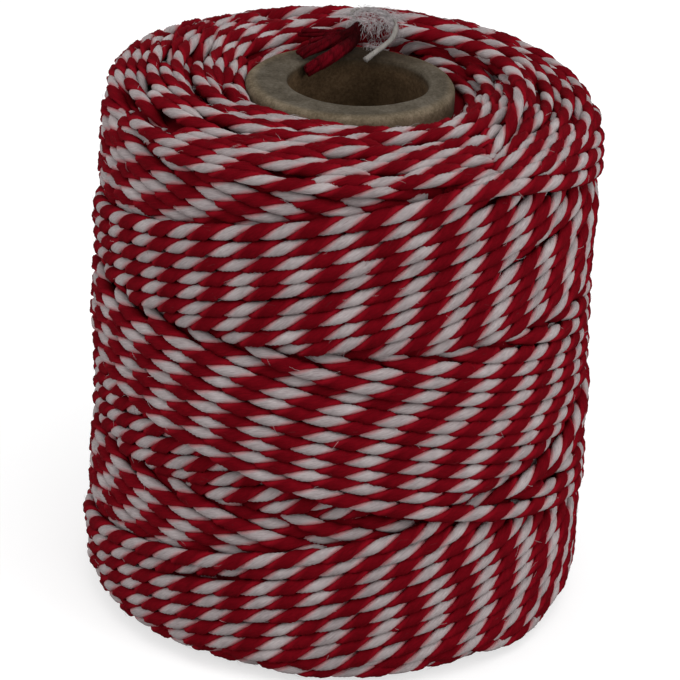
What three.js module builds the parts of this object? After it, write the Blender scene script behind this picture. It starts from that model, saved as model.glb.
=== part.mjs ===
// A spool of red and white cotton twine, cross-wound on a plain paper tube.
// Millimetres, +Z up. The origin is at the middle of the base, on the surface it stands on.
import * as THREE from "three";

// ---------------------------------------------------------------- driving dimensions

const TWINE = 2.1;             // diameter of the twine
const CLEAR = 0.35;            // gap that separate pieces keep
const FLOOR = 0;               // the surface that the spool stands on

const CORE = { outer: 13.3, bore: 9.0, height: 70.1, edge: 0.6 };

// The wound body, as a section through the axis: radii at three heights and the two ends.
const BODY = {
  inner: CORE.outer + CLEAR,
  height: 71.0,
  collar: 68.3,                // height of the winding where it meets the tube
  crown: 20.9,                 // radius of its highest ring
  foot: 20.4,                  // outer radius of the flat ring that it stands on
  roundness: 2.3,              // exponent of the shoulders, 2 is an ellipse
};
const SIDE = [
  { name: "lower", z: 3.4, radius: 33.0 },
  { name: "middle", z: 35.0, radius: 32.45 },
  { name: "upper", z: 66.2, radius: 31.9 },
];

// The lay of the twine: it rises for one and a half turns, comes back down for as many,
// and each pass starts a little earlier than the one before it.
const LAY = {
  low: 4.65,                   // height at which the twine turns back near the base
  high: 68.4,                  // height at which it turns back near the top
  turnsPerPass: 1.5,
  lastReturn: 33,              // degrees right of the front, the last turn back at the top
  relief: 1.1,                 // how far the newest turns stand above the oldest
  ridge: 0.38,                 // half height of the ridge that each group of turns makes
  group: 4,                    // turns in a group
};

// Points round and along the winding, and how much of the relief its highest ring takes.
const GRID = { columns: 66, wall: 1, collar: 6, shoulder: 7, side: 38, foot: 3 };
const END_SHARE = 0.3;

// Route of the loose end: angle right of the front, radius and height above the winding.
const LOOSE_END = [
  { angle: 74, radius: 21.6, lift: 0.0 },
  { angle: 84, radius: 20.4, lift: 0.1 },
  { angle: 96, radius: 19.3, lift: 0.1 },
  { angle: 110, radius: 18.4, lift: 0.1 },
  { angle: 124, radius: 17.7, lift: 0.1 },
  { angle: 138, radius: 17.1, lift: 0.1 },
  { angle: 152, radius: 16.5, lift: 0.2 },
  { angle: 164, radius: 15.9, lift: 0.2 },
  { angle: 174, radius: 15.2, lift: 0.4 },
];

// Routes of the two plies past the end of the cord, in x, y and z.
const RED_PLY = [
  { x: 0.5, y: 14.3, z: 72.1 },
  { x: -0.1, y: 12.8, z: 71.8 },
  { x: -0.6, y: 11.3, z: 71.3 },
  { x: -1.5, y: 9.6, z: 71.1 },
  { x: -2.7, y: 7.8, z: 70.75 },
  { x: -4.0, y: 6.3, z: 70.2 },
  { x: -5.0, y: 5.4, z: 69.5 },
  { x: -5.7, y: 5.0, z: 68.6 },
];
const WHITE_PLY = [
  { x: 0.0, y: 16.5, z: 72.4 },
  { x: -0.4, y: 17.9, z: 72.7 },
  { x: 0.5, y: 19.0, z: 73.0 },
  { x: 2.3, y: 18.8, z: 73.2 },
  { x: 4.2, y: 17.0, z: 73.2 },
  { x: 5.3, y: 14.3, z: 73.0 },
  { x: 5.3, y: 11.7, z: 72.0 },
  { x: 3.9, y: 9.5, z: 71.4 },
  { x: 1.8, y: 7.8, z: 70.3 },
];
const PLY = { red: 1.3, white: 1.1 };
const TUBE = { sides: 8, cordStep: 2, plyStep: 1.4 };   // steps are in diameters

// ---------------------------------------------------------------- materials

const finish = (color, roughness) => new THREE.MeshStandardMaterial({ color, roughness, metalness: 0 });

const PAPER = finish(0x5a5043, 0.9);
const TWINE_MIX = finish(0x86404a, 0.95);
const RED = finish(0x5e0a14, 0.95);
const WHITE = finish(0x9a9090, 0.95);

// ---------------------------------------------------------------- small helpers

const radians = (degrees) => degrees * Math.PI / 180;
const mix = (a, b, t) => a + (b - a) * t;
const wrap = (value, period) => ((value % period) + period) % period;

function onCircle(angle, radius, z) {
  // Angle 0 is the front, -Y, and it grows to the right, towards +X.
  return new THREE.Vector3(radius * Math.sin(angle), -radius * Math.cos(angle), z);
}

// ---------------------------------------------------------------- the paper tube

function buildCore() {
  const { outer, bore, height, edge } = CORE;
  const corners = [
    { r: bore + edge, z: FLOOR + edge, from: 180 },
    { r: outer - edge, z: FLOOR + edge, from: 270 },
    { r: outer - edge, z: height - edge, from: 0 },
    { r: bore + edge, z: height - edge, from: 90 },
  ];
  const steps = 2;
  const profile = [];
  for (const corner of corners) {
    for (let i = 0; i <= steps; i++) {
      const a = radians(corner.from + 90 * i / steps);
      profile.push(new THREE.Vector2(corner.r + edge * Math.cos(a), corner.z + edge * Math.sin(a)));
    }
  }
  profile.push(profile[0].clone());
  const geometry = new THREE.LatheGeometry(profile, 48);
  geometry.rotateX(Math.PI / 2);
  return geometry;
}

// ---------------------------------------------------------------- the wound body

function sideRadius(z) {
  const [lower, middle, upper] = SIDE;
  const [a, b] = z < middle.z ? [lower, middle] : [middle, upper];
  return mix(a.radius, b.radius, (z - a.z) / (b.z - a.z));
}

// How new the topmost turn is at this place, from 0, the oldest, to 1, the last one laid.
// Turns that rise to the right move up with each pass, turns that fall move down.
function newest(angle, z) {
  const advance = (LAY.high - LAY.low) / LAY.turnsPerPass;
  const climb = advance * (angle - radians(LAY.lastReturn)) / (2 * Math.PI);
  const rising = 1 - wrap(LAY.high + climb - z, advance) / advance;
  const falling = 1 - wrap(z - LAY.high + climb, advance) / advance;
  return { rising, falling, climb };
}

function relief(angle, z) {
  const { rising, falling, climb } = newest(angle, z);
  const pitch = TWINE * LAY.group;
  const along = rising > falling ? z - climb : z + climb;
  const ridge = LAY.ridge * Math.cos(2 * Math.PI * along / pitch);
  return LAY.relief * (Math.max(rising, falling) - 1) + ridge;
}

// One closed section: up the tube, out over the top, down the side and in under the base.
// Each point also says how much of the relief it takes.
function section() {
  const { inner, height, collar, crown, foot, roundness } = BODY;
  const lower = SIDE[0];
  const upper = SIDE[SIDE.length - 1];
  const arc = (t) => {
    const c = Math.cos(t) ** (2 / roundness);
    const s = Math.sin(t) ** (2 / roundness);
    return [c, s];
  };
  const points = [];
  const add = (r, z, share) => points.push({ r, z, share });
  for (let i = 0; i < GRID.wall; i++) {
    add(inner, mix(FLOOR, collar, i / GRID.wall), 0);
  }
  for (let i = 0; i < GRID.collar; i++) {
    const t = i / GRID.collar;
    add(mix(inner, crown, t), mix(collar, height, Math.sin(t * Math.PI / 2)), END_SHARE * t);
  }
  for (let i = 0; i < GRID.shoulder; i++) {
    const [c, s] = arc(Math.PI / 2 * (1 - i / GRID.shoulder));
    add(crown + (upper.radius - crown) * c, upper.z + (height - upper.z) * s, mix(END_SHARE, 1, c ** 2));
  }
  for (let i = 0; i < GRID.side; i++) {
    const z = mix(upper.z, lower.z, i / GRID.side);
    add(sideRadius(z), z, 1);
  }
  for (let i = 0; i < GRID.shoulder; i++) {
    const [c, s] = arc(Math.PI / 2 * i / GRID.shoulder);
    add(foot + (lower.radius - foot) * c, lower.z - (lower.z - FLOOR) * s, c ** 2);
  }
  for (let i = 0; i < GRID.foot; i++) {
    add(mix(foot, inner, i / GRID.foot), FLOOR, 0);
  }
  return points;
}

// Outward direction at a point of the section, from its two neighbours.
function outward(points, i) {
  const before = points[(i + points.length - 1) % points.length];
  const after = points[(i + 1) % points.length];
  const dr = after.r - before.r;
  const dz = after.z - before.z;
  const length = Math.hypot(dr, dz);
  return { r: -dz / length, z: dr / length };
}

function buildWinding() {
  const points = section();
  const rows = points.length;
  const { columns } = GRID;
  const positions = [];
  for (let c = 0; c < columns; c++) {
    const angle = 2 * Math.PI * c / columns;
    points.forEach((point, i) => {
      const depth = point.share * relief(angle, point.z);
      const normal = outward(points, i);
      const place = onCircle(angle, point.r + normal.r * depth, point.z + normal.z * depth);
      positions.push(place.x, place.y, Math.max(place.z, FLOOR));
    });
  }
  const index = [];
  for (let c = 0; c < columns; c++) {
    const next = (c + 1) % columns;
    for (let i = 0; i < rows; i++) {
      const up = (i + 1) % rows;
      const a = c * rows + i;
      const b = next * rows + i;
      const d = c * rows + up;
      const e = next * rows + up;
      index.push(a, d, b, b, d, e);
    }
  }
  const geometry = new THREE.BufferGeometry();
  geometry.setAttribute("position", new THREE.Float32BufferAttribute(positions, 3));
  geometry.setIndex(index);
  geometry.computeVertexNormals();
  return geometry;
}

// ---------------------------------------------------------------- the loose end

function disc(diameter, sides) {
  const shape = new THREE.Shape();
  for (let i = 0; i < sides; i++) {
    const a = 2 * Math.PI * i / sides;
    const x = diameter / 2 * Math.cos(a);
    const y = diameter / 2 * Math.sin(a);
    if (i === 0) shape.moveTo(x, y);
    else shape.lineTo(x, y);
  }
  shape.closePath();
  return shape;
}

function strand(points, diameter, step) {
  const path = new THREE.CatmullRomCurve3(points);
  const steps = Math.round(path.getLength() / (step * diameter));
  return new THREE.ExtrudeGeometry(disc(diameter, TUBE.sides), { steps, extrudePath: path });
}

function topHeight(radius) {
  const { inner, height, collar, crown, roundness } = BODY;
  if (radius <= crown) {
    return mix(collar, height, Math.sin((radius - inner) / (crown - inner) * Math.PI / 2));
  }
  const upper = SIDE[SIDE.length - 1];
  const out = (radius - crown) / (upper.radius - crown);
  return upper.z + (height - upper.z) * (1 - out ** roundness) ** (1 / roundness);
}

function looseEndRoute() {
  return LOOSE_END.map(({ angle, radius, lift }) => {
    const z = topHeight(radius) + TWINE / 2 + CLEAR + lift;
    return onCircle(radians(angle), radius, z);
  });
}

const route = (rows) => rows.map(({ x, y, z }) => new THREE.Vector3(x, y, z));

// ---------------------------------------------------------------- the whole spool

function piece(name, geometry, material) {
  const mesh = new THREE.Mesh(geometry, material);
  mesh.name = name;
  return mesh;
}

const spool = new THREE.Group();
spool.add(piece("core", buildCore(), PAPER));
spool.add(piece("winding", buildWinding(), TWINE_MIX));
spool.add(piece("loose_end", strand(looseEndRoute(), TWINE, TUBE.cordStep), TWINE_MIX));
spool.add(piece("red_ply", strand(route(RED_PLY), PLY.red, TUBE.plyStep), RED));
spool.add(piece("white_ply", strand(route(WHITE_PLY), PLY.white, TUBE.plyStep), WHITE));

export default spool;
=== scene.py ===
import math
import bpy
import numpy as np
from mathutils import Matrix, Vector


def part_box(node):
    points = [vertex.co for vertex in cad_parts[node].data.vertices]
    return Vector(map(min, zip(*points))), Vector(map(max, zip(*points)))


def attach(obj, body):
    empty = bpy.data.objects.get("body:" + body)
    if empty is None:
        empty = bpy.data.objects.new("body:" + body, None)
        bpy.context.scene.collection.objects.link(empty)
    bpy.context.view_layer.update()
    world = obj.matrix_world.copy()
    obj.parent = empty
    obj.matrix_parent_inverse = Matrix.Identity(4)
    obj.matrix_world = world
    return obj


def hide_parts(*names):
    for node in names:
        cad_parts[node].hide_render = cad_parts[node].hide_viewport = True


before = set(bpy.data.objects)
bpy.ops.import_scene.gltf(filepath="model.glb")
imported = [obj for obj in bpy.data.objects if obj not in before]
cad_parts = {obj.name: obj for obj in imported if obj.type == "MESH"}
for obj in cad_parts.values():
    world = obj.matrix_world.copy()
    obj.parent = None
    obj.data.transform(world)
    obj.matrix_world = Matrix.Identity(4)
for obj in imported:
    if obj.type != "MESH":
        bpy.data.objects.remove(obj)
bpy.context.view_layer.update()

MM = 0.001
TAU = math.tau
SEED = 20

# ---- camera
ELEVATION = 0.433  # radians above the horizon
DISTANCE = 416.6  # mm from the middle of the spool
ROLL = 0.047  # radians, the right side of the picture hangs lower
AIM_HEIGHT = 35.6  # mm, the point that the view is set by
AIM_ASIDE, AIM_BELOW = 0.131, 1.716  # mm from there to the middle of the picture
LENS, SENSOR = 168.38, 36.0
CLIP_NEAR, CLIP_FAR = 0.02, 20.0  # m


def new_object(name, data):
    new = bpy.data.objects.new(name, data)
    bpy.context.scene.collection.objects.link(new)
    return new


def make_camera():
    data = bpy.data.cameras.new("camera")
    data.lens, data.sensor_width = LENS, SENSOR
    data.clip_start, data.clip_end = CLIP_NEAR, CLIP_FAR
    cam = new_object("camera", data)
    back = Vector((0, -math.cos(ELEVATION), math.sin(ELEVATION)))
    aim = Vector((0, 0, AIM_HEIGHT))
    eye = aim + back * DISTANCE

    def facing(look):
        return look.to_track_quat("-Z", "Y").to_matrix() @ Matrix.Rotation(ROLL, 3, "Z")

    turn = facing(-back)
    target = aim - turn.col[0] * AIM_ASIDE - turn.col[1] * AIM_BELOW
    turn = facing((target - eye).normalized())
    cam.matrix_world = Matrix.Translation(eye * MM) @ turn.to_4x4()
    bpy.context.scene.camera = cam


make_camera()


# ---- number helpers
def unit(v):
    return v / np.maximum(np.linalg.norm(v, axis=-1, keepdims=True), 1e-12)


def ease(x):
    x = np.clip(x, 0, 1)
    return x * x * (3 - 2 * x)


def smooth_noise(n, wander, rng):
    """n samples of a smooth random wave: wander = (size, samples from bend to bend)."""
    size, step = wander
    v = rng.normal(size=int(n / step) + 4)
    x = np.arange(n) / step
    i = x.astype(int)
    f = ease(x - i)
    return size * (v[i] * (1 - f) + v[i + 1] * f)


def running_length(points):
    """Length of a polyline up to each of its points."""
    return np.concatenate([[0], np.cumsum(np.linalg.norm(np.diff(points, axis=0), axis=1))])


# ---- mesh helpers
def grid_quads(rows, columns, bands):
    """Quads of the first bands between rows of points, where each row is closed and the last row
    is followed by the first."""
    i, j = np.meshgrid(np.arange(bands), np.arange(columns), indexing="ij")
    i2, j2 = (i + 1) % rows, (j + 1) % columns
    corners = [i * columns + j, i * columns + j2, i2 * columns + j2, i2 * columns + j]
    return np.stack(corners, -1).reshape(-1, 4)


def new_mesh(name, points, loops, starts, uvs=None, smooth=True):
    """points (N, 3) in mm, loops = vertex of each corner, starts = first corner of each face."""
    mesh = bpy.data.meshes.new(name)
    mesh.vertices.add(len(points))
    mesh.vertices.foreach_set("co", (np.asarray(points, np.float64) * MM).astype(np.float32).ravel())
    mesh.loops.add(len(loops))
    mesh.loops.foreach_set("vertex_index", np.asarray(loops, np.int32))
    mesh.polygons.add(len(starts))
    mesh.polygons.foreach_set("loop_start", np.asarray(starts, np.int32))
    mesh.polygons.foreach_set("use_smooth", np.full(len(starts), smooth))
    for key, uv in (uvs or {}).items():
        layer = mesh.uv_layers.new(name=key)
        layer.data.foreach_set("uv", np.asarray(uv, np.float32).ravel())
    mesh.update(calc_edges=True)
    mesh.validate()
    return new_object(name, mesh)


# the colour map OFBake: share of a row that strips take, free share on each side of a row, and what
# keeps the last row inside
ROW_USED, ROW_MARGIN, ROW_SLACK = 0.985, 0.06, 0.001


class Tubes:
    """Closed tubes of one section, for one mesh. In the map strand, u is mm along all the tubes,
    one after the other, and v is mm round the section."""

    def __init__(self, girth, gap=0.5):
        self.girth, self.gap = girth, gap  # mm round the section, mm in u between two tubes
        self.points, self.loops, self.sizes, self.strand = [], [], [], []
        self.count, self.used = 0, 0.0

    def add(self, rings, along):
        """rings (N, sides, 3), along = mm from the tube's start."""
        n, k = rings.shape[:2]
        base = self.count
        along = self.used + along
        self.points.append(rings.reshape(-1, 3))
        quads = grid_quads(n, k, n - 1) + base
        uv = np.stack(np.broadcast_arrays(along[:, None], np.arange(k + 1) / k * self.girth), -1)
        corners = [uv[:-1, :-1], uv[:-1, 1:], uv[1:, 1:], uv[1:, :-1]]
        self.loops.append(quads.ravel())
        self.sizes.append(np.full(len(quads), 4))
        self.strand.append(np.stack(corners, 2).reshape(-1, 2))
        for ring, order in ((0, -1), (n - 1, 1)):
            self.loops.append((ring * k + np.arange(k))[::order] + base)
            self.sizes.append(np.array([k]))
            self.strand.append(uv[ring, :-1][::order])
        self.count += n * k
        self.used = along[-1] + self.gap

    def make(self, name):
        strand = np.concatenate(self.strand)
        sizes = np.concatenate(self.sizes)
        starts = np.concatenate([[0], np.cumsum(sizes)[:-1]])
        # the strips lie in rows of the colour map
        first = np.minimum.reduceat(strand[:, 0], starts)
        total = strand[:, 0].max() + 1e-6
        rows = max(1, int(math.sqrt(total / self.girth)))
        length = total / rows
        row = np.repeat(np.floor(first / length), sizes)
        over = ROW_MARGIN + (1 - 2 * ROW_MARGIN) * strand[:, 1] / self.girth
        bake = np.stack([(strand[:, 0] - row * length) / length * ROW_USED,
                         (row + over) / (rows + ROW_SLACK)], -1)
        return new_mesh(name, np.concatenate(self.points), np.concatenate(self.loops), starts,
                        {"strand": strand, "OFBake": np.clip(bake, 0, 1)})


def lathe(name, profile, columns, wobble=None):
    """Closed surface of revolution: profile (N, 2) of radius and height, first and last joined.
    wobble(profile, angles) gives what is added to the radii and heights."""
    n = len(profile)
    a = np.arange(columns) / columns * TAU
    r, z = profile[:, 0][:, None], profile[:, 1][:, None]
    if wobble is not None:
        dr, dz = wobble(profile, a)
        r, z = r + dr, z + dz
    points = np.stack(np.broadcast_arrays(r * np.sin(a), -r * np.cos(a), z + 0 * a), -1).reshape(-1, 3)
    quads = grid_quads(n, columns, n)
    return new_mesh(name, points, quads.ravel(), np.arange(len(quads)) * 4)


# ---- the winding, in mm and degrees
# Angle 0 is the front, -Y, and it grows to the right. s is the arc length along the section
# of the wound body, from the foot of the tube, over the side, to the head of the tube.
CAD_HALF, CAD_TOP = 33.07, 71.09  # of the solid that the sizes below fit
box_lo, box_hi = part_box("winding")
GIRTH = (box_hi.x - box_lo.x) / 2 / MM / CAD_HALF
RISE = box_hi.z / MM / CAD_TOP
INNER, CROWN, FOOT = 13.65 * GIRTH, 20.9 * GIRTH, 20.4 * GIRTH
HEIGHT, COLLAR, ROUNDNESS = 71.0 * RISE, 68.3 * RISE, 2.3
SIDE = [(3.4 * RISE, 33.0 * GIRTH), (35.0 * RISE, 32.45 * GIRTH), (66.2 * RISE, 31.9 * GIRTH)]
LOW_SHOULDER, HIGH_SHOULDER = SIDE[0], SIDE[-1]

TWINE = 2.1
R = TWINE / 2
PITCH = 7.27  # length of one full twist
SQUASH = 0.9  # height of a laid turn over its width
VERT = SQUASH * R  # half height of a laid turn
STEP = 0.5  # degrees between samples
COLUMNS = round(360 / STEP)  # samples in a full circle
GRAIN = 0.25  # mm between cells along the section

LOW, HIGH = 2.95, 66.7  # heights where the twine turns back
STROKE = 532.03  # degrees from one end to the other
LAST_RETURN = 33.0  # where the last pass turns back at the top
CYCLES = 23  # passes up, each with its pass down
BEND = 7.0  # half width of the turn back, in degrees
RELIEF = 1.1  # how far the newest turns stand above the oldest
CLEAR = 0.35  # gap between the loose end and the winding
TILT = 0.5  # slope of the upper end: lower right, higher left
TILT_FROM, TILT_OVER = 64.0, 7.0  # height where it starts, and mm to its full size

# routes of the loose end: angle, radius and height above the winding, and of its white ply
LOOSE_END = [(74, 21.6, 0.0), (84, 20.4, 0.1), (96, 19.3, 0.1), (110, 18.4, 0.1), (124, 17.7, 0.1),
             (138, 17.1, 0.1), (152, 16.5, 0.2), (164, 15.9, 0.2), (174, 15.2, 0.4)]
WHITE_PLY = [(0.0, 16.5, 72.4), (-0.4, 17.9, 72.7), (0.5, 19.0, 73.0), (2.3, 18.8, 73.2),
             (4.2, 17.0, 73.2), (5.3, 14.3, 73.0), (5.3, 11.7, 72.0), (3.9, 9.5, 71.4), (1.8, 7.8, 70.3)]

SAMPLES = 800  # even samples of the section
ON_SIDE = slice(121, 680)  # those where height grows with arc length
ON_TOP = slice(SAMPLES - 1, 600, -1)  # those of the upper end, from the tube outwards


def shoulder(t, radius, rounded_radius, height, rounded_height):
    """A point of a rounded shoulder: t is 0 at the side and 1 at the end."""
    a = math.pi / 2 * t
    return (radius + (rounded_radius - radius) * math.cos(a) ** (2 / ROUNDNESS),
            rounded_height + (height - rounded_height) * math.sin(a) ** (2 / ROUNDNESS))


def section():
    """Even samples of the wound body: arc length, (radius, height) and outward direction."""
    (low_z, low_r), (high_z, high_r) = LOW_SHOULDER, HIGH_SHOULDER
    points = [(INNER + (FOOT - INNER) * t, 0.0) for t in np.linspace(0, 1, 24)[:-1]]
    points += [shoulder(1 - t, FOOT, low_r, 0.0, low_z) for t in np.linspace(0, 1, 60)[:-1]]
    points += [(np.interp(z, *zip(*SIDE)), z) for z in np.linspace(low_z, high_z, 120)[:-1]]
    points += [shoulder(t, CROWN, high_r, HEIGHT, high_z) for t in np.linspace(0, 1, 60)[:-1]]
    for t in np.linspace(0, 1, 30):
        dished = math.sin((1 - t) * math.pi / 2)
        points.append((CROWN + (INNER - CROWN) * t, COLLAR + (HEIGHT - COLLAR) * dished))
    s = running_length(points)
    even = np.linspace(0, s[-1], SAMPLES)
    p = np.stack([np.interp(even, s, v) for v in zip(*points)], -1)
    for _ in range(6):  # takes the corners off the tangents
        p[1:-1] = (p[:-2] + 2 * p[1:-1] + p[2:]) / 4
    t = unit(np.gradient(p, axis=0))
    return even, p, np.stack([t[:, 1], -t[:, 0]], -1)


ARC, SECTION, NORMAL = section()
CELLS = int(ARC[-1] / GRAIN) + 2


def at(s):
    """Radius and height of the wound body."""
    return [np.interp(s, ARC, v) for v in SECTION.T]


def arc_of_height(z):
    """Arc length at a height of the side, carried on straight past the shoulders."""
    low, high = LOW_SHOULDER[0], HIGH_SHOULDER[0]
    s_low, s_high = np.interp([low, high], SECTION[ON_SIDE, 1], ARC[ON_SIDE])
    return s_low + (z - low) * (s_high - s_low) / (high - low)


def arc_of_radius(radius):
    """Arc length at a radius of the upper end."""
    return np.interp(radius, SECTION[ON_TOP, 0], ARC[ON_TOP])


def place(theta, s, depth):
    """Points and outward directions, for centres at a depth."""
    r, z = at(s)
    nr, nz = (np.interp(s, ARC, v) for v in NORMAL.T)
    a = np.radians(theta)
    out = np.stack([nr * np.sin(a), -nr * np.cos(a), nz], -1)
    point = np.stack([r * np.sin(a), -r * np.cos(a), z], -1)
    return point + out * depth[:, None], out


def path_length(theta, s):
    """Length of a run up to each of its samples."""
    r, _ = at(s)
    step = np.hypot(np.radians(np.diff(theta)) * r[1:], np.diff(s))
    return np.concatenate([[0], np.cumsum(step)])


def tilt(theta, s):
    """How much lower the upper end lies here."""
    return TILT * np.sin(np.radians(theta)) * ease((s - arc_of_height(TILT_FROM)) / TILT_OVER)


def guide(theta):
    """Height of the twine as it is laid to and fro, rounded where it turns back."""
    half, mid = STROKE / 2, (LOW + HIGH) / 2
    x = (theta - LAST_RETURN + STROKE) % (2 * STROKE) - STROKE

    def from_return(x):
        a, h = np.hypot(x, BEND), math.hypot(half, BEND)
        return mid + (HIGH - mid) * (h - a) / (h - BEND)

    return np.where(np.abs(x) < half, from_return(x), 2 * mid - from_return(STROKE - np.abs(x)))


# ---- laying the twine
FAR = 9.0  # mm, further out or in than any turn
DEEPEST = -3.0  # a turn that would lie deeper is buried
NEAR = np.arange(-5, 6)  # cells that a turn can touch
LAST_WINDOW = 7  # samples of the last smoothing of a run
ACROSS = np.linspace(-0.8, 0.8, 7)  # places across a turn where its view is tested
SHOWS = 0.10  # mm beneath the view that can still be seen


def bulge(d, half):
    """Half height of a laid turn at a distance from its middle."""
    return VERT * np.sqrt(np.clip(1 - (d / half) ** 2, 0, 1))


class Bed:
    """The surface of the spool as it stands, from the last turn down."""

    def __init__(self):
        self.room = np.full((COLUMNS, CELLS), FAR)  # underside of what lies above
        self.view = np.full((COLUMNS, CELLS), -FAR)  # outermost surface

    def tuck(self, cols, s, cap, after=None, hold=0.66, window=11, rounds=10, wide=1.0):
        """Lays one run beneath everything laid so far and beneath cap, and returns the height of
        its centre. after = the centres of the run that it leads into, hold = the share of its
        width that can't sink into what lies above, window and rounds = how stiffly it bends."""
        ring = cols % COLUMNS
        idx = np.clip(np.floor(s / GRAIN).astype(int)[:, None] + NEAR[None], 0, CELLS - 1)
        d = idx * GRAIN - s[:, None]
        half = R * wide
        on = np.abs(d) <= half
        w = bulge(d, half)
        room = np.where(np.abs(d) <= hold * half, self.room[ring[:, None], idx] - w, FAR)
        c = np.minimum(cap, room.min(1))
        self.buried = c < DEEPEST
        c = np.maximum(c, DEEPEST)
        n = len(c)
        if after is not None:
            c = np.concatenate([c, after])
        for i in range(rounds + 1):
            pad = np.concatenate([np.full(window, c[0]), c, np.full(window, c[-1])])
            width = window if i < rounds else LAST_WINDOW
            even = np.convolve(pad, np.ones(width) / width, "same")[window:-window]
            c = np.minimum(c, even) if i < rounds else even
        c = c[:n]
        a = np.broadcast_to(ring[:, None], idx.shape)
        np.minimum.at(self.room, (a[on], idx[on]), (c[:, None] - w)[on])
        np.maximum.at(self.view, (a[on], idx[on]), (c[:, None] + w)[on])
        return c

    def seen(self, cols, s, c, wide=1.0):
        ring = cols % COLUMNS
        seen = np.zeros(len(s), bool)
        half = R * wide
        for off in ACROSS * half:
            i = np.clip(np.round((s + off) / GRAIN).astype(int), 0, CELLS - 1)
            seen |= c + bulge(i * GRAIN - s, half) > self.view[ring, i] - SHOWS
        return seen


START = LAST_RETURN - 2 * STROKE * (CYCLES - 1) - STROKE  # angle where the first pass starts
FINISH = LAST_RETURN + STROKE
SWAY = ((0.10, 110), (0.04, 30))  # wander of the height
UNEVEN = (0.10, 60)  # wander of the depth
PROUD = 0.45  # how far the newest turns stand above the section
LEADS = 24  # samples of the next pass that a pass leads into


def lay_passes(bed, rng):
    """The passes up and down: columns, heights, arc lengths, depths, which samples are buried,
    and the first sample of each pass."""
    cols = np.arange(math.ceil(START / STEP), int(FINISH / STEP) + 1)
    theta = cols * STEP
    n = len(cols)
    z = guide(theta)
    for wander in SWAY:
        z = z + smooth_noise(n, wander, rng)
    s = arc_of_height(z)
    age = (theta - START) / (FINISH - START)
    cap = -VERT + PROUD - RELIEF * (1 - age) + smooth_noise(n, UNEVEN, rng) - tilt(theta, s)
    depth, under = np.zeros(n), np.zeros(n, bool)
    passes = round((FINISH - START) / STROKE)
    edges = np.searchsorted(theta, START + STROKE * np.arange(passes + 1))
    edges[-1] = n
    for a, b in zip(edges[-2::-1], edges[:0:-1]):
        after = depth[b:b + LEADS] if b < n else None
        depth[a:b] = bed.tuck(cols[a:b], s[a:b], cap[a:b], after)
        under[a:b] = bed.buried
    return cols, z, s, depth, under, edges


# mm that the stripes shift from one turn to the one laid before it, for the rising and the falling
# turns, on the lower and the upper half: for each turn, and on top of it for the newest ones
LEAN = (((0.05, -5.0), (0.5, -3.1)), ((-1.9, 4.0), (-1.9, 0.0)))
NEWEST = 2  # turns over which that second shift fades
UPPER_HALF = 36  # height where it starts
DRIFT, JITTER = 0.5, 0.6  # mm, uneven shift that adds up, or doesn't
UNEVEN_TWIST = (0.45, 90)  # wander of the twist along a turn


def twist_of_passes(theta, z, along, rng):
    """Phase of the plies along the passes, held at the front, so that the stripes of neighbouring
    turns fall into leaning columns."""
    drift = np.cumsum(rng.normal(size=(CYCLES + 1, 2)) * DRIFT, axis=0)
    marks, phases = [], []
    for front in np.arange(math.ceil(START / 360), int(FINISH / 360) + 1) * 360.0:
        i = int(np.argmin(np.abs(theta - front)))
        cycle, falls = divmod(int((front - START) // STROKE), 2)
        newer = CYCLES - 1 - cycle
        steady, fresh = LEAN[falls][int(z[i] > UPPER_HALF)]
        lean = steady * newer + fresh * NEWEST * (1 - math.exp(-newer / NEWEST))
        offset = drift[cycle, falls] - lean + JITTER * rng.normal()
        p = -TAU * offset / PITCH
        if marks:
            want = phases[-1] + TAU * (along[i] - marks[-1]) / PITCH
            p += TAU * round((want - p) / TAU)
        marks.append(along[i])
        phases.append(p)
    phase = np.interp(along, marks, phases)
    early, late = along < marks[0], along > marks[-1]
    phase[early] = phases[0] + TAU * (along[early] - marks[0]) / PITCH
    phase[late] = phases[-1] + TAU * (along[late] - marks[-1]) / PITCH
    return phase + TAU * smooth_noise(len(theta), UNEVEN_TWIST, rng) / PITCH


S_FOOT, S_HEAD = 1.05, ARC[-1] - 1.0  # the nearest a ring comes to the tube
LANE = 1.36  # spacing of the rings on the ends
PRESSED = 0.8  # width of a ring there, over the twine's
TAIL = 7.0  # length over which a ring's end dips out of sight
END_LEAN, END_SLIP = -2.3, 0.8  # shift of the stripes from ring to ring, and its unevenness
LENGTHS = 0.17  # lengths of twine in a ring, a mm of radius
# the two ends: middle of the first and last ring, direction of the side, unevenness in depth
ENDS = ((arc_of_height(HIGH) + 1.4, S_HEAD, -1, 0.3), (arc_of_height(LOW) - 1.6, S_FOOT, 1, 0.15))
FILLS = ((0.0, 0.0, 0.5), (0.5, 0.1, 0.5), (-1.75, 0.4, 0.45))  # lanes aside, mm deeper, hold
FILL_SWAY = (0.12, 60)


def lay_ring(bed, runs, cols, s, cap, start, hold=0.46, window=9, rounds=8):
    """Lays one run on the ends. start = mm of twist before its first sample."""
    s = np.clip(s, S_FOOT, S_HEAD)
    c = bed.tuck(cols, s, cap, None, hold, window, rounds, wide=PRESSED)
    phase = TAU * (path_length(cols * STEP, s) + start) / PITCH
    runs.append((cols, s, c, phase, bed.buried, PRESSED, "ends"))


def lay_feeder(bed, runs):
    """The turn that comes up from the winding and becomes the loose end."""
    length, inward, depth = 34, 0.12, -2.6  # degrees, mm a degree, mm at its start
    angle, radius, _ = LOOSE_END[0]
    cols = np.arange(int((angle - length) / STEP), int(angle / STEP) + 1)
    left = angle - cols * STEP
    up = ease(1 - left / length)
    s = arc_of_radius(radius + inward * left)
    before = PITCH / 2 - path_length(cols * STEP, s)[-1]
    lay_ring(bed, runs, cols, s, depth + (R + CLEAR - depth) * up, before, window=3, rounds=0)


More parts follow.
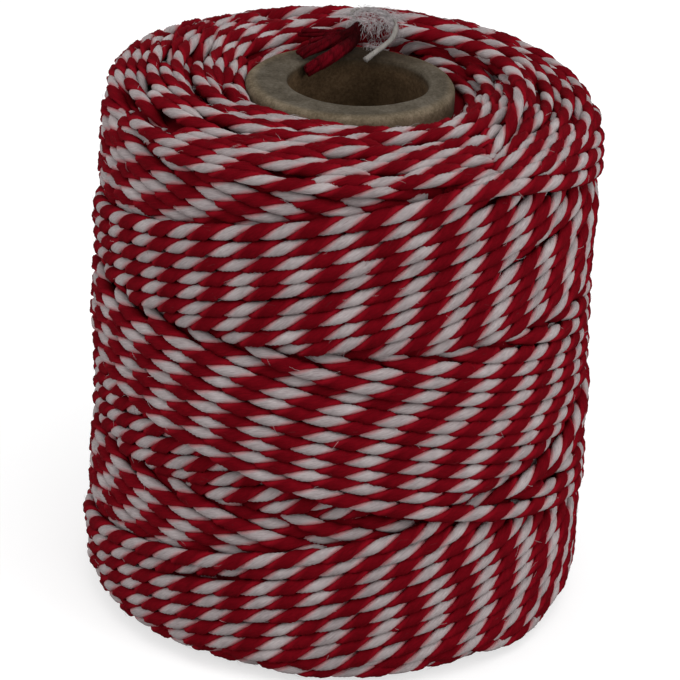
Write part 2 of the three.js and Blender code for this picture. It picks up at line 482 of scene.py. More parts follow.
DIPS, DIP_ASIDE = 1.5, 0.95  # mm down and towards the side, over TAIL
PLACED, SLANTED, STARTED = 0.06, 0.11, 0.5  # mm, unevenness of its place, direction and stripes
RING_SWAY, RING_UNEVEN = (0.12, 44), (0.08, 40)  # wander towards the side and in depth


def lay_turned_back(bed, runs, end, lane, slip, mid, half, rng):
    """One length of twine in a ring. It comes up, lies round the end and dips again. mid = its
    middle and half = half of what it shows, in degrees."""
    _, _, outward, push = end
    radius = at(lane)[0]
    reach = half + math.degrees(0.7 * TAIL / radius)
    cols = np.arange(int((mid - reach) / STEP), int((mid + reach) / STEP))
    x = (cols * STEP - mid) / reach
    left = (1 - np.abs(x)) * math.radians(reach) * radius  # mm to the nearer end
    dip = ease(1 - left / TAIL)
    s = (lane + PLACED * rng.normal() + outward * DIP_ASIDE * dip + SLANTED * x * rng.normal()
         + smooth_noise(len(cols), RING_SWAY, rng))
    cap = (-VERT + push * rng.uniform(-0.6, 1.6) - DIPS * dip
           + smooth_noise(len(cols), RING_UNEVEN, rng) - tilt(cols * STEP, s))
    start = math.radians(cols[0] * STEP) * radius + slip + STARTED * rng.normal()
    lay_ring(bed, runs, cols, s, cap, start)


def lay_end(bed, runs, end, rng):
    """The turns back of the layers beneath, ring within ring, and spirals that fill the gaps."""
    first, last, outward, _ = end
    lanes = np.linspace(first, last, round(abs(last - first) / LANE) + 1)
    slip, turned = 0.0, rng.uniform(0, 360)
    for lane in lanes:
        count = int(np.clip(round(at(lane)[0] * LENGTHS), 3, 5))
        if lane != first:
            turned += 180 / count + rng.uniform(-20, 20)
        slip += END_LEAN + END_SLIP * rng.normal()
        for k in rng.permutation(count):
            mid = (turned + k * 360 / count + rng.uniform(-10, 10) + 180) % 360 - 180
            half = 180 / count * rng.uniform(1.02, 1.22)
            lay_turned_back(bed, runs, end, lane, slip, mid, half, rng)
    for aside, deeper, hold in FILLS:
        cols = np.arange(int(360 * (len(lanes) + 3) / STEP)) + int(rng.uniform(0, COLUMNS))
        s = (np.linspace(first + 3 * outward * LANE, last, len(cols)) + aside * LANE
             + smooth_noise(len(cols), FILL_SWAY, rng))
        cap = -VERT - deeper - tilt(cols * STEP, s)
        lay_ring(bed, runs, cols, s, cap, rng.uniform(0, PITCH), hold, 5, 4)


def wind():
    """Returns the bed and the runs of twine. Each run is its columns, arc lengths, depths, phases,
    which samples are buried, its width over the twine's, and its group."""
    rng = np.random.default_rng(SEED)
    bed, runs = Bed(), []
    cols, z, s, depth, under, edges = lay_passes(bed, rng)
    phase = twist_of_passes(cols * STEP, z, path_length(cols * STEP, s), rng)
    middle = edges[(len(edges) - 1) // 2]
    for group, part in (("lower", slice(None, middle)), ("upper", slice(middle, None))):
        runs.append((cols[part], s[part], depth[part], phase[part], under[part], 1.0, group))
    lay_feeder(bed, runs)
    for end in ENDS:
        lay_end(bed, runs, end, rng)
    return bed, runs


# ---- the turns of twine
RING = 0.58  # mm between the sections of a turn
KEEP = 1.5  # mm kept where a turn goes out of sight
SHORTEST = 4  # sections of the shortest stretch that is built
OFF_FLOOR = 0.02  # mm beneath the lowest turns
PLY_GIRTH = 5.1  # mm round a ply
PLY_ARC = 8  # points on a ply's outside


def ply_section(middle, deep, broad):
    """One ply's part of the twine's section, an ellipse cut off at the axis: x towards the ply's
    own side and y across. Its middle and half sizes are over R."""
    end = math.acos(-middle / deep)
    a = np.linspace(-end, end, PLY_ARC)
    return np.append(middle + deep * np.cos(a), 0.0) * R, np.append(broad * np.sin(a), 0.0) * R


PLIES = {"white": (0.0, *ply_section(0.36, 0.60, 0.77)), "red": (math.pi, *ply_section(0.45, 0.62, 1.0))}


def turned_section(px, py, phase):
    """A ply's section turned about the twine's axis, for each phase."""
    f = phase[:, None]
    return px * np.cos(f) - py * np.sin(f), px * np.sin(f) + py * np.cos(f)


def plies(bed, runs):
    """One Tubes per colour and group, of every stretch that can be seen."""
    out = {}
    for cols, s, c, phase, under, wide, group in runs:
        theta = cols * STEP
        along = path_length(theta, s)
        seen = (bed.seen(cols, s, c, wide) & ~under).astype(float)
        even = np.linspace(0, along[-1], max(2, int(along[-1] / RING)))
        near = np.interp(even, along, seen) > 0.01
        reach = int(KEEP / RING + 0.5)
        keep = np.convolve(near, np.ones(2 * reach + 1), "same") > 0
        theta, s, c, phase = (np.interp(even, along, v) for v in (theta, s, c, phase))
        point, outward = place(theta, s, c)
        point[:, 2] = np.maximum(point[:, 2], VERT + OFF_FLOOR)
        t = unit(np.gradient(point, axis=0))
        outward = unit(outward - t * np.sum(outward * t, -1, keepdims=True))
        aside = np.cross(outward, t)
        flips = np.flatnonzero(np.diff(np.concatenate([[0], keep.astype(int), [0]])))
        for a, b in zip(flips[::2], flips[1::2]):
            if b - a < SHORTEST:
                continue
            for colour, (turn, px, py) in PLIES.items():
                x, y = turned_section(px, py, phase[a:b] + turn)
                rings = (point[a:b, None] + outward[a:b, None] * (x * SQUASH)[..., None]
                         + aside[a:b, None] * (y * wide)[..., None])
                out.setdefault((colour, group), Tubes(PLY_GIRTH)).add(rings, even[a:b] - even[a])
    return out


# ---- materials
class Nodes:
    """Adds nodes to a tree. An input is a value or the output that feeds it."""

    def __init__(self, tree):
        self.tree = tree

    def feed(self, target, inputs):
        for key, value in inputs.items():
            if isinstance(value, bpy.types.NodeSocket):
                self.tree.links.new(value, target.inputs[key])
            else:
                target.inputs[key].default_value = value
        return target

    def add(self, kind, inputs=None, **settings):
        new = self.tree.nodes.new("ShaderNode" + kind)
        for key, value in settings.items():
            setattr(new, key, value)
        return self.feed(new, inputs or {})

    def math(self, operation, *values):
        return self.add("Math", dict(enumerate(values)), operation=operation).outputs[0]

    def distance(self, spot, middle):
        return self.add("VectorMath", {0: spot, 1: middle}, operation="DISTANCE").outputs["Value"]

    def span(self, value, nothing_at, all_at, most=1.0):
        """0 where the value is nothing_at, most where it is all_at, straight between."""
        inputs = {"Value": value, "From Min": nothing_at, "From Max": all_at, "To Max": most}
        return self.add("MapRange", inputs).outputs["Result"]

    def noise(self, vector, scale, detail, roughness=0.5):
        inputs = {"Vector": vector, "Scale": scale, "Detail": detail, "Roughness": roughness}
        return self.add("TexNoise", inputs).outputs["Fac"]

    def mix(self, share, first, second, blend="MIX"):
        inputs = {"Factor": share, "A": first, "B": second}
        return self.add("Mix", inputs, data_type="RGBA", blend_type=blend).outputs["Result"]

    def ramp(self, source, stops):
        new = self.add("ValToRGB", {"Fac": source})
        elements = new.color_ramp.elements
        while len(elements) < len(stops):
            elements.new(0.5)
        for element, (position, colour) in zip(elements, stops):
            element.position = position
            element.color = (*colour, 1)
        return new.outputs["Color"]

    def bump(self, height, strength, distance):
        inputs = {"Height": height, "Strength": strength, "Distance": distance}
        return self.add("Bump", inputs).outputs["Normal"]


def new_material(name):
    mat = bpy.data.materials.new(name)
    mat.use_nodes = True
    tree = mat.node_tree
    return mat, Nodes(tree), tree.nodes["Principled BSDF"]


def cotton(name, deep, plain, bright, groove, shaded=None):
    """Cotton ply: fibres run along it, and its edges, where the plies meet, take a groove colour that is
    partly painted light and shade of the groove and partly dye. It can carry painted shade round one
    place, shaded = (middle in m, radius in m, share of the colour that is left)."""
    mat, nodes, shader = new_material(name)
    strand = nodes.add("SeparateXYZ", {"Vector": nodes.add("UVMap", uv_map="strand").outputs["UV"]})
    along, around = strand.outputs["X"], strand.outputs["Y"]
    spot = nodes.add("TexCoord").outputs["Object"]
    # fibres, a little slanted to the ply
    slanted = nodes.math("MULTIPLY_ADD", along, 0.35, around)
    lines = nodes.add("CombineXYZ", {"X": nodes.math("MULTIPLY", along, 0.9),
                                     "Y": nodes.math("MULTIPLY", slanted, 6.5)}).outputs[0]
    fibre = nodes.noise(lines, 1.0, 3.0, 0.65)
    fine = nodes.noise(lines, 3.4, 2.0, 0.6)
    patch = nodes.noise(spot, 260.0, 2.0, 0.55)
    mixed = nodes.math("MULTIPLY_ADD", fibre, 0.6, nodes.math("MULTIPLY", patch, 0.4))
    colour = nodes.ramp(mixed, [(0.36, deep), (0.5, plain), (0.66, bright)])
    # the ply's edges, where both ends of v are inside the twine, take the groove colour: painted light
    # and shade of the groove between the plies, with the red light thrown into it, and red dye bleeding
    # into the white
    outside = (PLY_ARC - 1) / 2 / (PLY_ARC + 1)
    away = nodes.math("SUBTRACT", nodes.math("DIVIDE", around, PLY_GIRTH), outside)
    colour = nodes.mix(nodes.span(nodes.math("ABSOLUTE", away), 0.17, 0.38), colour, (*groove, 1))
    # painted shade, darker towards one place
    if shaded:
        middle, radius, left = shaded
        near = nodes.span(nodes.distance(spot, middle), radius, 0.3 * radius)
        colour = nodes.mix(near, colour, (left, left, left, 1), "MULTIPLY")
    relief = nodes.math("MULTIPLY_ADD", fine, 0.5, fibre)
    nodes.feed(shader, {"Base Color": colour, "Normal": nodes.bump(relief, 0.6, 0.12 * MM),
                        "Roughness": 0.92, "Specular IOR Level": 0.05})
    return mat


def fuzz_cotton(name, colour):
    mat, nodes, shader = new_material(name)
    noise = nodes.noise(nodes.add("TexCoord").outputs["Object"], 900.0, 2.0)
    low = tuple(0.75 * c for c in colour)
    high = tuple(min(1, 1.3 * c) for c in colour)
    nodes.feed(shader, {"Base Color": nodes.ramp(noise, [(0.35, low), (0.65, high)]), "Roughness": 0.85})
    return mat


# deep, plain and bright fibres, and the groove between the plies, whose colour is partly painted light
# and shade and partly dye
COTTON = {
    "white": cotton("white_cotton", (0.27, 0.225, 0.228), (0.385, 0.33, 0.332), (0.52, 0.46, 0.46),
                    (0.46, 0.17, 0.18)),
    "red": cotton("red_cotton", (0.098, 0.0007, 0.0032), (0.132, 0.001, 0.0048), (0.172, 0.002, 0.0065),
                  (0.26, 0.004, 0.012))}
WHITE_YARN = cotton("white_yarn", (0.21, 0.195, 0.18), (0.29, 0.27, 0.25), (0.38, 0.36, 0.33),
                    (0.26, 0.24, 0.22))
# painted shade: the red yarns are darker than the red cotton, for the tuft's shade over them, and darker
# still round their roots
SHADED_RED_YARN = cotton("red_yarn", (0.042, 0.0004, 0.002), (0.085, 0.0008, 0.004), (0.15, 0.002, 0.008),
                  (0.05, 0.0005, 0.0025), shaded=((0.0, 0.0125, 0.0715), 0.006, 0.28))
INNER_COTTON = cotton("inner_cotton", (0.13, 0.001, 0.005), (0.17, 0.002, 0.007), (0.21, 0.004, 0.011),
                      (0.13, 0.001, 0.005))
FUZZ = {"red": fuzz_cotton("red_fibre", (0.13, 0.006, 0.01)),
        "white": fuzz_cotton("white_fibre", (0.42, 0.385, 0.39))}

bed, runs = wind()
for (colour, group), tubes in plies(bed, runs).items():
    piece = tubes.make(f"{colour}_turns_{group}")
    piece.data.materials.append(COTTON[colour])
    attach(piece, "root")
    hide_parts("winding")

# ---- the bed beneath the turns
BED_BORE = 12.8  # it closes the gap round the tube
BED_DEPTH = 2.35  # beneath the section
BED_LOW, BED_SUNK = 2.0, 1.6  # its lowest height, and its head beneath the collar
BED_STEP = 6  # samples of the section between its points


def make_bed():
    keep = np.arange(BED_STEP, SAMPLES - BED_STEP, BED_STEP)
    p = SECTION[keep] - NORMAL[keep] * BED_DEPTH
    p[:, 0] = np.maximum(p[:, 0], BED_BORE + 0.05)
    p[:, 1] = np.clip(p[:, 1], BED_LOW, None)
    p = np.concatenate([[[BED_BORE, BED_LOW]], p, [[BED_BORE, COLLAR - BED_SUNK]]])
    piece = lathe("winding_bed", p, 144)
    piece.data.uv_layers.new(name="strand")
    return piece


bed_piece = make_bed()
bed_piece.data.materials.append(INNER_COTTON)
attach(bed_piece, "root")
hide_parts("winding")

# ---- the paper tube
core_lo, core_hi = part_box("core")
TUBE_R = (core_hi.x - core_lo.x) / 2 / MM
TUBE_H = core_hi.z / MM
BORE_R, EDGE, RIM = 9.0, 0.6, 1.0  # RIM rounds the outer edge of the upper end


def tube_profile():
    """Four rounded corners and the faces between them, from the foot of the bore."""
    arcs = []
    corners = [(BORE_R + EDGE, EDGE, 180, EDGE), (TUBE_R - EDGE, EDGE, 270, EDGE),
               (TUBE_R - RIM, TUBE_H - RIM, 0, RIM), (BORE_R + EDGE, TUBE_H - EDGE, 90, EDGE)]
    for r, z, start, edge in corners:
        a = np.radians(start + 15 * np.arange(7))
        arcs.append(np.stack([r + edge * np.cos(a), z + edge * np.sin(a)], -1))
    parts = []
    for arc, after, count in zip(arcs, arcs[1:] + arcs[:1], (8, 24, 8, 24)):
        parts += [arc, np.linspace(arc[-1], after[0], count)[1:-1]]
    return np.concatenate(parts)


UNROUND, UNLEVEL, ROUGH = 0.035, 0.05, 0.02  # mm, unevenness of the wall, the rim and the paper
WORN = 0.12  # mm that the rim is lower than the CAD's
WALL = 2.2  # mm from the bore that its shape reaches
THICK_LEFT, THICK_FRONT, ASIDE = 0.65, 0.5, 0.3  # mm, uneven thickness and shift of the wall


def tube_wobble(profile, a):
    """What the tube's radii and heights differ by from a true tube."""
    rng = np.random.default_rng(SEED + 3)
    dr = np.zeros((len(profile), len(a)))
    dz = np.zeros_like(dr)
    for k in range(2, 9):
        wave = np.cos(k * a[None] + rng.uniform(0, TAU) + profile[:, 1:] * rng.uniform(-0.03, 0.03))
        dr += UNROUND / k ** 0.5 * wave
        dz += UNLEVEL / k ** 0.5 * np.cos(k * a + rng.uniform(0, TAU))[None]
    fine = rng.normal(size=dr.shape)
    fine = (fine + np.roll(fine, 1, 1) + np.roll(fine, 1, 0)) / 3
    top = ease((profile[:, 1:] - TUBE_H + 2) / 2)
    inside = ease((BORE_R + WALL - profile[:, :1]) / WALL)
    thicker = THICK_LEFT * np.sin(a) - THICK_FRONT * np.clip(np.cos(a), 0, 1)
    dr = dr + inside * thicker[None] - ASIDE * (1 - inside) * np.sin(a)
    return dr + ROUGH * fine, (dz - WORN) * top + ROUGH * fine * top


# what the paper's colour is multiplied by
CUT_FACE, ROUNDED, TUBE_WALL = (0.67, 0.69, 0.71, 1), (1.22, 1.18, 1.10, 1), (1.08, 0.95, 0.85, 1)
BORE_SHADE = (0.52, 0.44, 0.34, 1)  # painted shade: the bore is darker, for the little light that gets into it
BACK_RIM_SHADE = (0.80, 0.72, 0.62, 1)  # painted shade on the rim at the back, beneath the tuft
YARN_SHADOW_ON_RIM = (0.40, 0.34, 0.30, 1)  # painted shadow of the yarns and the tuft on the rim beneath them


def cardboard():
    mat, nodes, shader = new_material("cardboard")
    spot = nodes.add("TexCoord").outputs["Object"]
    apart = nodes.add("SeparateXYZ", {"Vector": spot})
    y, z = apart.outputs["Y"], apart.outputs["Z"]
    flat = nodes.add("CombineXYZ", {"X": apart.outputs["X"], "Y": y}).outputs[0]
    radius = nodes.distance(flat, (0, 0, 0))
    coarse = nodes.noise(spot, 420.0, 4.0, 0.65)
    fine = nodes.noise(spot, 2600.0, 3.0, 0.7)
    grain = nodes.math("MULTIPLY_ADD", coarse, 0.5, nodes.math("MULTIPLY", fine, 0.5))
    paper = nodes.ramp(grain, [(0.38, (0.075, 0.058, 0.038)), (0.5, (0.115, 0.092, 0.064)),
                               (0.62, (0.165, 0.135, 0.10))])
    # grey cut face, paler rounded edge and browner wall
    rounded = nodes.span(radius, (TUBE_R - RIM - 0.5) * MM, (TUBE_R - 0.4) * MM)
    down = nodes.span(z, (TUBE_H - 0.5) * MM, (TUBE_H - 1.8) * MM)
    tint = nodes.mix(down, nodes.mix(rounded, CUT_FACE, ROUNDED), TUBE_WALL)
    colour = nodes.mix(1.0, paper, tint, "MULTIPLY")
    # painted shade inside the bore
    within = nodes.math("LESS_THAN", radius, (BORE_R + 2) * MM)
    inner = nodes.math("MULTIPLY", within, nodes.span(z, (TUBE_H - 0.35) * MM, (TUBE_H - 0.8) * MM))
    colour = nodes.mix(inner, colour, BORE_SHADE, "MULTIPLY")
    on_rim = nodes.math("SUBTRACT", 1.0, inner)
    # painted shade on the back of the rim
    colour = nodes.mix(nodes.span(y, 4 * MM, 10 * MM, on_rim), colour, BACK_RIM_SHADE, "MULTIPLY")
    # painted shadow on the rim beneath the yarns
    far = nodes.distance(spot, (0.9 * MM, 10.6 * MM, TUBE_H * MM))
    colour = nodes.mix(nodes.span(far, 9.5 * MM, 2 * MM, on_rim), colour, YARN_SHADOW_ON_RIM, "MULTIPLY")
    nodes.feed(shader, {"Base Color": colour, "Normal": nodes.bump(grain, 0.5, 0.2 * MM),
                        "Roughness": 0.95, "Specular IOR Level": 0.15})
    return mat


tube_piece = lathe("paper_tube", tube_profile(), 128, tube_wobble)
tube_piece.data.materials.append(cardboard())
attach(tube_piece, "root")
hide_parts("core")


# ---- the loose end
def top_height(r):
    """Height of the wound body's upper end at a radius."""
    if r <= CROWN:
        return COLLAR + (HEIGHT - COLLAR) * math.sin((r - INNER) / (CROWN - INNER) * math.pi / 2)
    high_z, high_r = HIGH_SHOULDER
    out = (r - CROWN) / (high_r - CROWN)
    return high_z + (HEIGHT - high_z) * (1 - out ** ROUNDNESS) ** (1 / ROUNDNESS)


def smooth_curve(points, step):
    """Catmull-Rom through the points, resampled evenly."""
    p = np.asarray(points, float)
    p = np.concatenate([[2 * p[0] - p[1]], p, [2 * p[-1] - p[-2]]])
    out = []
    for i in range(1, len(p) - 2):
        t = np.linspace(0, 1, 24, endpoint=False)[:, None]
        a, b, c, d = p[i - 1:i + 3]
        out.append(0.5 * (2 * b + (c - a) * t + (2 * a - 5 * b + 4 * c - d) * t ** 2
                          + (3 * b - a - 3 * c + d) * t ** 3))
    out = np.concatenate(out + [p[-2:-1]])
    length = running_length(out)
    n = max(4, int(round(length[-1] / step)) + 1)
    even = np.linspace(0, length[-1], n)
    return np.stack([np.interp(even, length, v) for v in out.T], -1), even


def across(points):
    """Two steady directions across a curve, the first one upwards at its start."""
    t = unit(np.gradient(points, axis=0))
    out = np.zeros_like(t)
    v = np.array([0.0, 0.0, 1.0])
    for i in range(len(t)):
        v = v - t[i] * np.dot(v, t[i])
        v = v / np.linalg.norm(v)
        out[i] = v
    return out, np.cross(out, t)


def round_tube(points, radii, sides, twist=0.0, lobes=0, depth=0.0):
    """Rings of a tube along a curve, twisted (radians a mm) where it has lobes, and its length."""
    n, b = across(points)
    a = np.arange(sides) / sides * TAU
    length = running_length(points)
    turn = a[None] + twist * length[:, None]
    shape = 1 + depth * np.cos(lobes * a)[None] if lobes else 1
    r = radii.reshape(-1, 1) * shape
    return points[:, None] + (n[:, None] * (r * np.cos(turn))[..., None]
                              + b[:, None] * (r * np.sin(turn))[..., None]), length


END_TURN = math.pi  # the red ply is uppermost where the end frays
END_SLIM = 0.86  # width of the loose end over the twine's
END_STEP = 0.4  # mm between its sections


def loose_route():
    route = []
    for angle, radius, lift in LOOSE_END:
        a = math.radians(angle)
        z = top_height(radius) + R + CLEAR + lift
        route.append((radius * math.sin(a), -radius * math.cos(a), z))
    return smooth_curve(route, END_STEP)


def make_loose_twine(points, along):
    """The cord of the loose end, one piece of the two plies."""
    n, b = across(points)
    pair = []
    for colour, (turn, px, py) in PLIES.items():
        tubes = Tubes(PLY_GIRTH)
        x, y = turned_section(px, py, TAU * along / PITCH + turn + END_TURN)
        rings = points[:, None] + END_SLIM * (n[:, None] * x[..., None] + b[:, None] * y[..., None])
        tubes.add(rings, along)
        ply = tubes.make(f"loose_{colour}")
        ply.data.materials.append(COTTON[colour])
        pair.append(ply)
    bpy.ops.object.select_all(action="DESELECT")
    for ply in pair:
        ply.select_set(True)
    bpy.context.view_layer.objects.active = pair[0]
    bpy.ops.object.join()
    pair[0].name = "loose_twine"
    return pair[0]


end_points, end_along = loose_route()
loose = make_loose_twine(end_points, end_along)
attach(loose, "root")
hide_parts("loose_end")


# ---- the frayed plies, in mm
YARN_STEP = 0.3  # mm between the sections of a yarn


def yarns(name, curves, sides):
    """One mesh of lobed yarns: curves = list of (points, radius, share of it left at the tip)."""
    root, root_length, tip_length = 0.75, 0.08, 0.2  # share of the radius, shares of the length
    twist, lobes, depth = 3.0, 5, 0.12
    tubes = Tubes(TAU * max(radius for _, radius, _ in curves))
    for points, radius, tip in curves:
        x = np.linspace(0, 1, len(points))
        thinner = 1 - (1 - tip) * ease((x - (1 - tip_length)) / tip_length)
        radii = radius * thinner * (root + (1 - root) * ease(x / root_length))
        tubes.add(*round_tube(points, radii, sides, twist, lobes, depth))
    return tubes.make(name)


def fibres(name, curves, radius):
    """One mesh of single fibres that thin towards their tips."""
    tubes = Tubes(TAU * radius, gap=0.2)
    for p in curves:
        x = np.linspace(0, 1, len(p))
        tubes.add(*round_tube(p, radius * (1 - 0.6 * x), 3))
    return tubes.make(name)


def parted(points, radius, count, rng):
    """A yarn as a few loosely twisted parts of unequal length, for yarns()."""
    middle, along = smooth_curve(points, YARN_STEP)
    n, b = across(middle)
    spread = radius * (0.42 + 0.16 * along / along[-1])
    first = rng.uniform(0, TAU)
    parts = []
    for k in range(count):
        a = first + TAU * k / count + 0.3 * along
        part = middle + (n * np.cos(a)[:, None] + b * np.sin(a)[:, None]) * spread[:, None]
        parts.append((part[:len(part) - int(rng.integers(0, 3))], 0.6 * radius, 0.8))
    return parts


# the red ply's four yarns, the longest one down into the bore
RED_FRONT = [(0.5, 14.2, 72.1), (0.0, 12.5, 71.7), (-0.5, 10.7, 71.2), (-1.4, 8.9, 71.0),
             (-2.7, 7.2, 70.6), (-4.1, 6.0, 70.0), (-5.3, 5.4, 69.4), (-6.3, 5.2, 68.8)]
RED_MIDDLE = [(0.4, 14.1, 72.3), (-0.4, 12.4, 72.0), (-1.6, 11.0, 71.8), (-3.2, 9.6, 71.5),
              (-4.6, 8.2, 71.3), (-6.0, 7.0, 71.1), (-7.0, 6.2, 70.7)]
RED_THIN = [(0.4, 14.0, 72.3), (-0.6, 12.0, 72.1), (-1.9, 10.7, 71.9), (-3.5, 10.3, 71.7),
            (-5.0, 9.9, 71.5), (-6.3, 9.6, 71.1)]
RED_BACK = [(0.4, 14.2, 72.4), (-0.2, 12.4, 72.3), (-1.4, 11.0, 72.2), (-3.1, 11.1, 72.0),
            (-5.1, 11.9, 71.8), (-7.2, 13.0, 71.5)]
RED_PARTS = ((RED_FRONT, 0.82, 5), (RED_MIDDLE, 0.72, 4), (RED_THIN, 0.5, 3), (RED_BACK, 0.62, 4))

# the white ply: its main strand, and thin yarns along a part of its loop
STRAND = [(5.3, 13.6, 72.7), (5.1, 11.8, 72.2), (4.6, 10.5, 71.8), (3.5, 8.7, 71.4), (2.4, 7.2, 71.0),
          (1.5, 6.3, 70.5)]
WHITE_YARNS = ((7, 0.0), (6, -0.3), (5, -0.5), (4, -1.0))  # points, and mm that it drifts aside


def red_curves(rng):
    return [part for route, radius, count in RED_PARTS for part in parted(route, radius, count, rng)]


def white_curves():
    curves = [(smooth_curve(STRAND, YARN_STEP)[0], 0.35, 1.15)]
    for count, aside in WHITE_YARNS:
        drift = np.array([[aside, -0.6, -0.1]]) * np.linspace(0, 1, count)[:, None]
        curves.append((smooth_curve(np.array(WHITE_PLY)[:count] + drift, YARN_STEP)[0], 0.15, 0.3))
    return curves


rng = np.random.default_rng(SEED + 1)
red_yarns = yarns("red_yarns", red_curves(rng), 12)
red_yarns.data.materials.append(SHADED_RED_YARN)
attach(red_yarns, "root")
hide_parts("red_ply")

white_yarns = yarns("white_yarns", white_curves(), 10)
white_yarns.data.materials.append(WHITE_YARN)
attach(white_yarns, "root")
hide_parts("white_ply")

TUFT = np.array([2.1, 16.0, 72.6])  # middle of the frayed white ply
LOOP = smooth_curve(WHITE_PLY, 0.1)[0]
TUFT_FIBRES = (("loop", 280), ("across", 140), ("hanging", 95), ("beneath", 24))
ON_WINDING, ON_TUBE = 70.9, 0.1  # lowest height there, and mm over the tube


def loop_fibre(rng):
    """A fibre along the white ply's loop, nearer to or further from its middle."""
    start = rng.uniform(0.0, 0.56)
    u = np.linspace(start, start + rng.uniform(0.12, 0.36), 5)
    inward = rng.uniform(0.2, 1.12) ** 0.6 + rng.normal() * 0.15 * np.linspace(0, 1, 5)
    on_loop = LOOP[(np.clip(u, 0, 0.72) * (len(LOOP) - 1)).astype(int)]
    p = TUFT + (on_loop - TUFT) * inward[:, None]
    p[:, 2] += 0.9 * np.clip(1 - inward ** 2, 0, 1) - 0.2
    return p


# fibres across the loop, hanging towards the tube or on the tube beneath it: middle, spread and
# dome of the roots, directions, lengths and fall
BENT = {"across": (TUFT + (0, 0.2, 0.5), (3.4, 2.4), 0.4, (-math.pi, math.pi), (1.0, 3.0), 0.0),
        "hanging": (TUFT + (-0.2, -1.3, 0.1), (2.7, 1.3), 0.0, (-0.4, 0.3), (0.8, 2.2), 0.85),
        "beneath": ((2.9, 11.2, TUBE_H + 0.7), (1.3, 1.5), 0.0, (-1.2, 0.5), (0.6, 1.4), 0.3)}


def bent_fibre(rng, kind):
    middle, (wide, deep), dome, turns, lengths, fall = BENT[kind]
    a, b = rng.uniform(0, TAU), math.sqrt(rng.uniform(0, 1))
    root = np.array([wide * b * math.cos(a), deep * b * math.sin(a), -dome * b * b]) + middle
    turn, reach = rng.uniform(*turns), rng.uniform(*lengths)
    step = np.array([math.sin(turn), -math.cos(turn), -fall]) * reach
    bend = np.array([rng.uniform(-0.7, 0.7), rng.uniform(-0.4, 0.4), 0.45])
    x = np.linspace(0, 1, 5)[:, None]
    return root + step * x + bend * (4 * x * (1 - x))


def tuft_fibre(rng, kind):
    p = loop_fibre(rng) if kind == "loop" else bent_fibre(rng, kind)
    p[1:] += np.linspace(0.06, 0.24, len(p) - 1)[:, None] * rng.normal(size=p[1:].shape)
    over_tube = np.hypot(p[:, 0], p[:, 1]) < TUBE_R
    p[:, 2] = np.maximum(p[:, 2], np.where(over_tube, TUBE_H + ON_TUBE, ON_WINDING))
    return smooth_curve(p, 0.35)[0]


tuft = [tuft_fibre(rng, kind) for kind, count in TUFT_FIBRES for _ in range(count)]
tuft_piece = fibres("white_fibres", tuft, 0.038)
tuft_piece.data.materials.append(FUZZ["white"])
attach(tuft_piece, "root")

# ---- stray fibres of the twine
HAIRS, HAIR_RADIUS = 2600, 0.022
TRIES = 8  # places looked at for each hair, at most
TOO_DEEP = -1.8  # mm, no hairs on turns that lie deeper


def hair_at(run, i, rng):
    """One hair out of sample i of a run: its colour and its points."""
    cols, s, c, phase = run[:4]
    near = slice(i - 1, i + 2)
    point, outward = place(cols[near] * STEP, s[near], c[near])
    t = unit(point[2] - point[0])
    n = outward[1]
    aside = np.cross(n, t)
    around = rng.normal() * 0.6
    d = n * math.cos(around) * SQUASH + aside * math.sin(around)
    colour = "white" if math.cos(around - phase[i]) > 0 else "red"
    length = rng.uniform(0.4, 1.5)
    lean = unit(t * rng.choice([-1, 1]) * rng.uniform(0.5, 1.6) + aside * rng.normal() * 0.6)
    x = np.linspace(0, 1, 5)[:, None]
    hair = (point[1] + d * R * 0.93 + lean * length * x
            + d * length * (0.75 * x - 0.45 * x ** 2) * rng.uniform(0.3, 1.0)
            + 0.05 * rng.normal(size=(5, 3)) * x)
    hair[:, 2] = np.maximum(hair[:, 2], 0.06)
    return colour, hair


def stray(bed, runs, count, rng):
    """Short hairs out of the turns in sight, as lists of points for each colour."""
    out = {"red": [], "white": []}
    sizes = np.array([len(run[0]) for run in runs], float)
    tries = 0
    while sum(map(len, out.values())) < count and tries < count * TRIES:
        tries += 1
        run = runs[rng.choice(len(runs), p=sizes / sizes.sum())]
        cols, s, c, _, under = run[:5]
        i = int(rng.integers(5, len(cols) - 5))
        if under[i] or c[i] < TOO_DEEP or not bed.seen(cols[i:i + 1], s[i:i + 1], c[i:i + 1])[0]:
            continue
        colour, hair = hair_at(run, i, rng)
        out[colour].append(hair)
    return out


hairs = stray(bed, runs, HAIRS, np.random.default_rng(SEED + 2))
for colour, material in FUZZ.items():
    piece = fibres(f"{colour}_fuzz", hairs[colour], HAIR_RADIUS)
    piece.data.materials.append(material)
    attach(piece, "root")

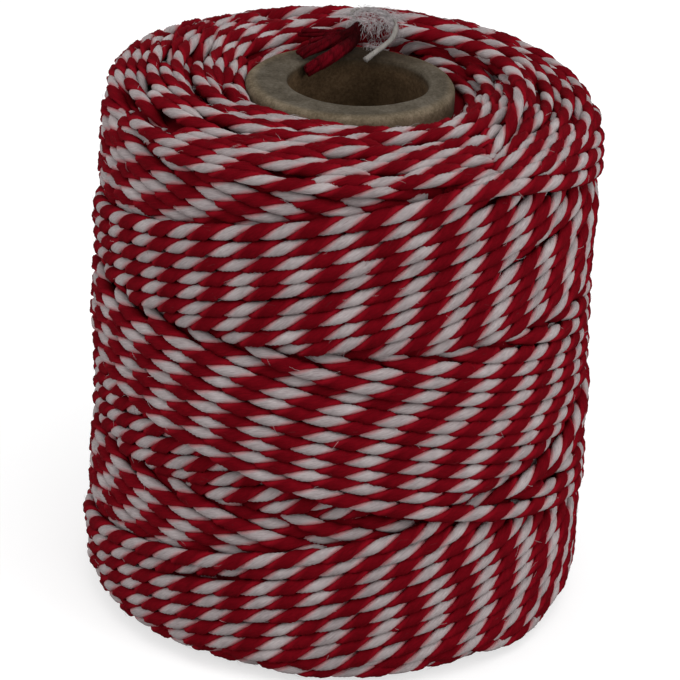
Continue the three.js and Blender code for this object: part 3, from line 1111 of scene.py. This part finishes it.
# ---- floor, world and lamps
FLOOR_HALF = 3000  # mm
FLOOR_GREY, FLOOR_GLOW = 0.5, 0.62  # what it reflects, and adds for the camera alone
WORLD_LIGHT = 0.66  # the camera sees white instead
LAMP_AIM = Vector((0, 0, 0.035))
LAMPS = (("key", (0.25, -0.5, 1.35), 0.9, 5.2), ("right", (1.1, -0.6, 0.55), 0.7, 5.6),
         ("left", (-1.2, -0.4, 0.5), 0.7, 3.9))  # name, place and size in m, power in W


def make_floor():
    corners = np.array([[-1, -1, 0], [1, -1, 0], [1, 1, 0], [-1, 1, 0]]) * FLOOR_HALF
    piece = new_mesh("floor", corners, [0, 1, 2, 3], [0], smooth=False)
    mat, nodes, _ = new_material("floor")
    nodes.tree.nodes.clear()
    matt = nodes.add("BsdfDiffuse", {"Color": (FLOOR_GREY, FLOOR_GREY, FLOOR_GREY, 1)})
    in_camera = nodes.add("LightPath").outputs["Is Camera Ray"]
    power = nodes.math("MULTIPLY", in_camera, FLOOR_GLOW)
    glow = nodes.add("Emission", {"Color": (1, 1, 1, 1), "Strength": power})
    both = nodes.add("AddShader", {0: matt.outputs[0], 1: glow.outputs[0]})
    nodes.add("OutputMaterial", {"Surface": both.outputs[0]})
    piece.data.materials.append(mat)


def make_world():
    world = bpy.data.worlds.new("studio")
    bpy.context.scene.world = world
    world.use_nodes = True
    world.node_tree.nodes.clear()
    nodes = Nodes(world.node_tree)
    light = nodes.add("Background", {"Color": (1, 1, 1, 1), "Strength": WORLD_LIGHT})
    white = nodes.add("Background", {"Color": (1, 1, 1, 1), "Strength": 1.0})
    in_camera = nodes.add("LightPath").outputs["Is Camera Ray"]
    mix = nodes.add("MixShader", {0: in_camera, 1: light.outputs[0], 2: white.outputs[0]})
    nodes.add("OutputWorld", {"Surface": mix.outputs[0]})


def make_lamp(name, spot, size, power):
    data = bpy.data.lights.new(name, "AREA")
    data.shape = "DISK"
    data.size = size
    data.energy = power
    lamp = new_object(name, data)
    turn = (LAMP_AIM - Vector(spot)).to_track_quat("-Z", "Y").to_matrix()
    lamp.matrix_world = Matrix.Translation(Vector(spot)) @ turn.to_4x4()


make_floor()
make_world()
for name, spot, size, power in LAMPS:
    make_lamp(name, spot, size, power)

bpy.context.scene.view_settings.view_transform = "Standard"
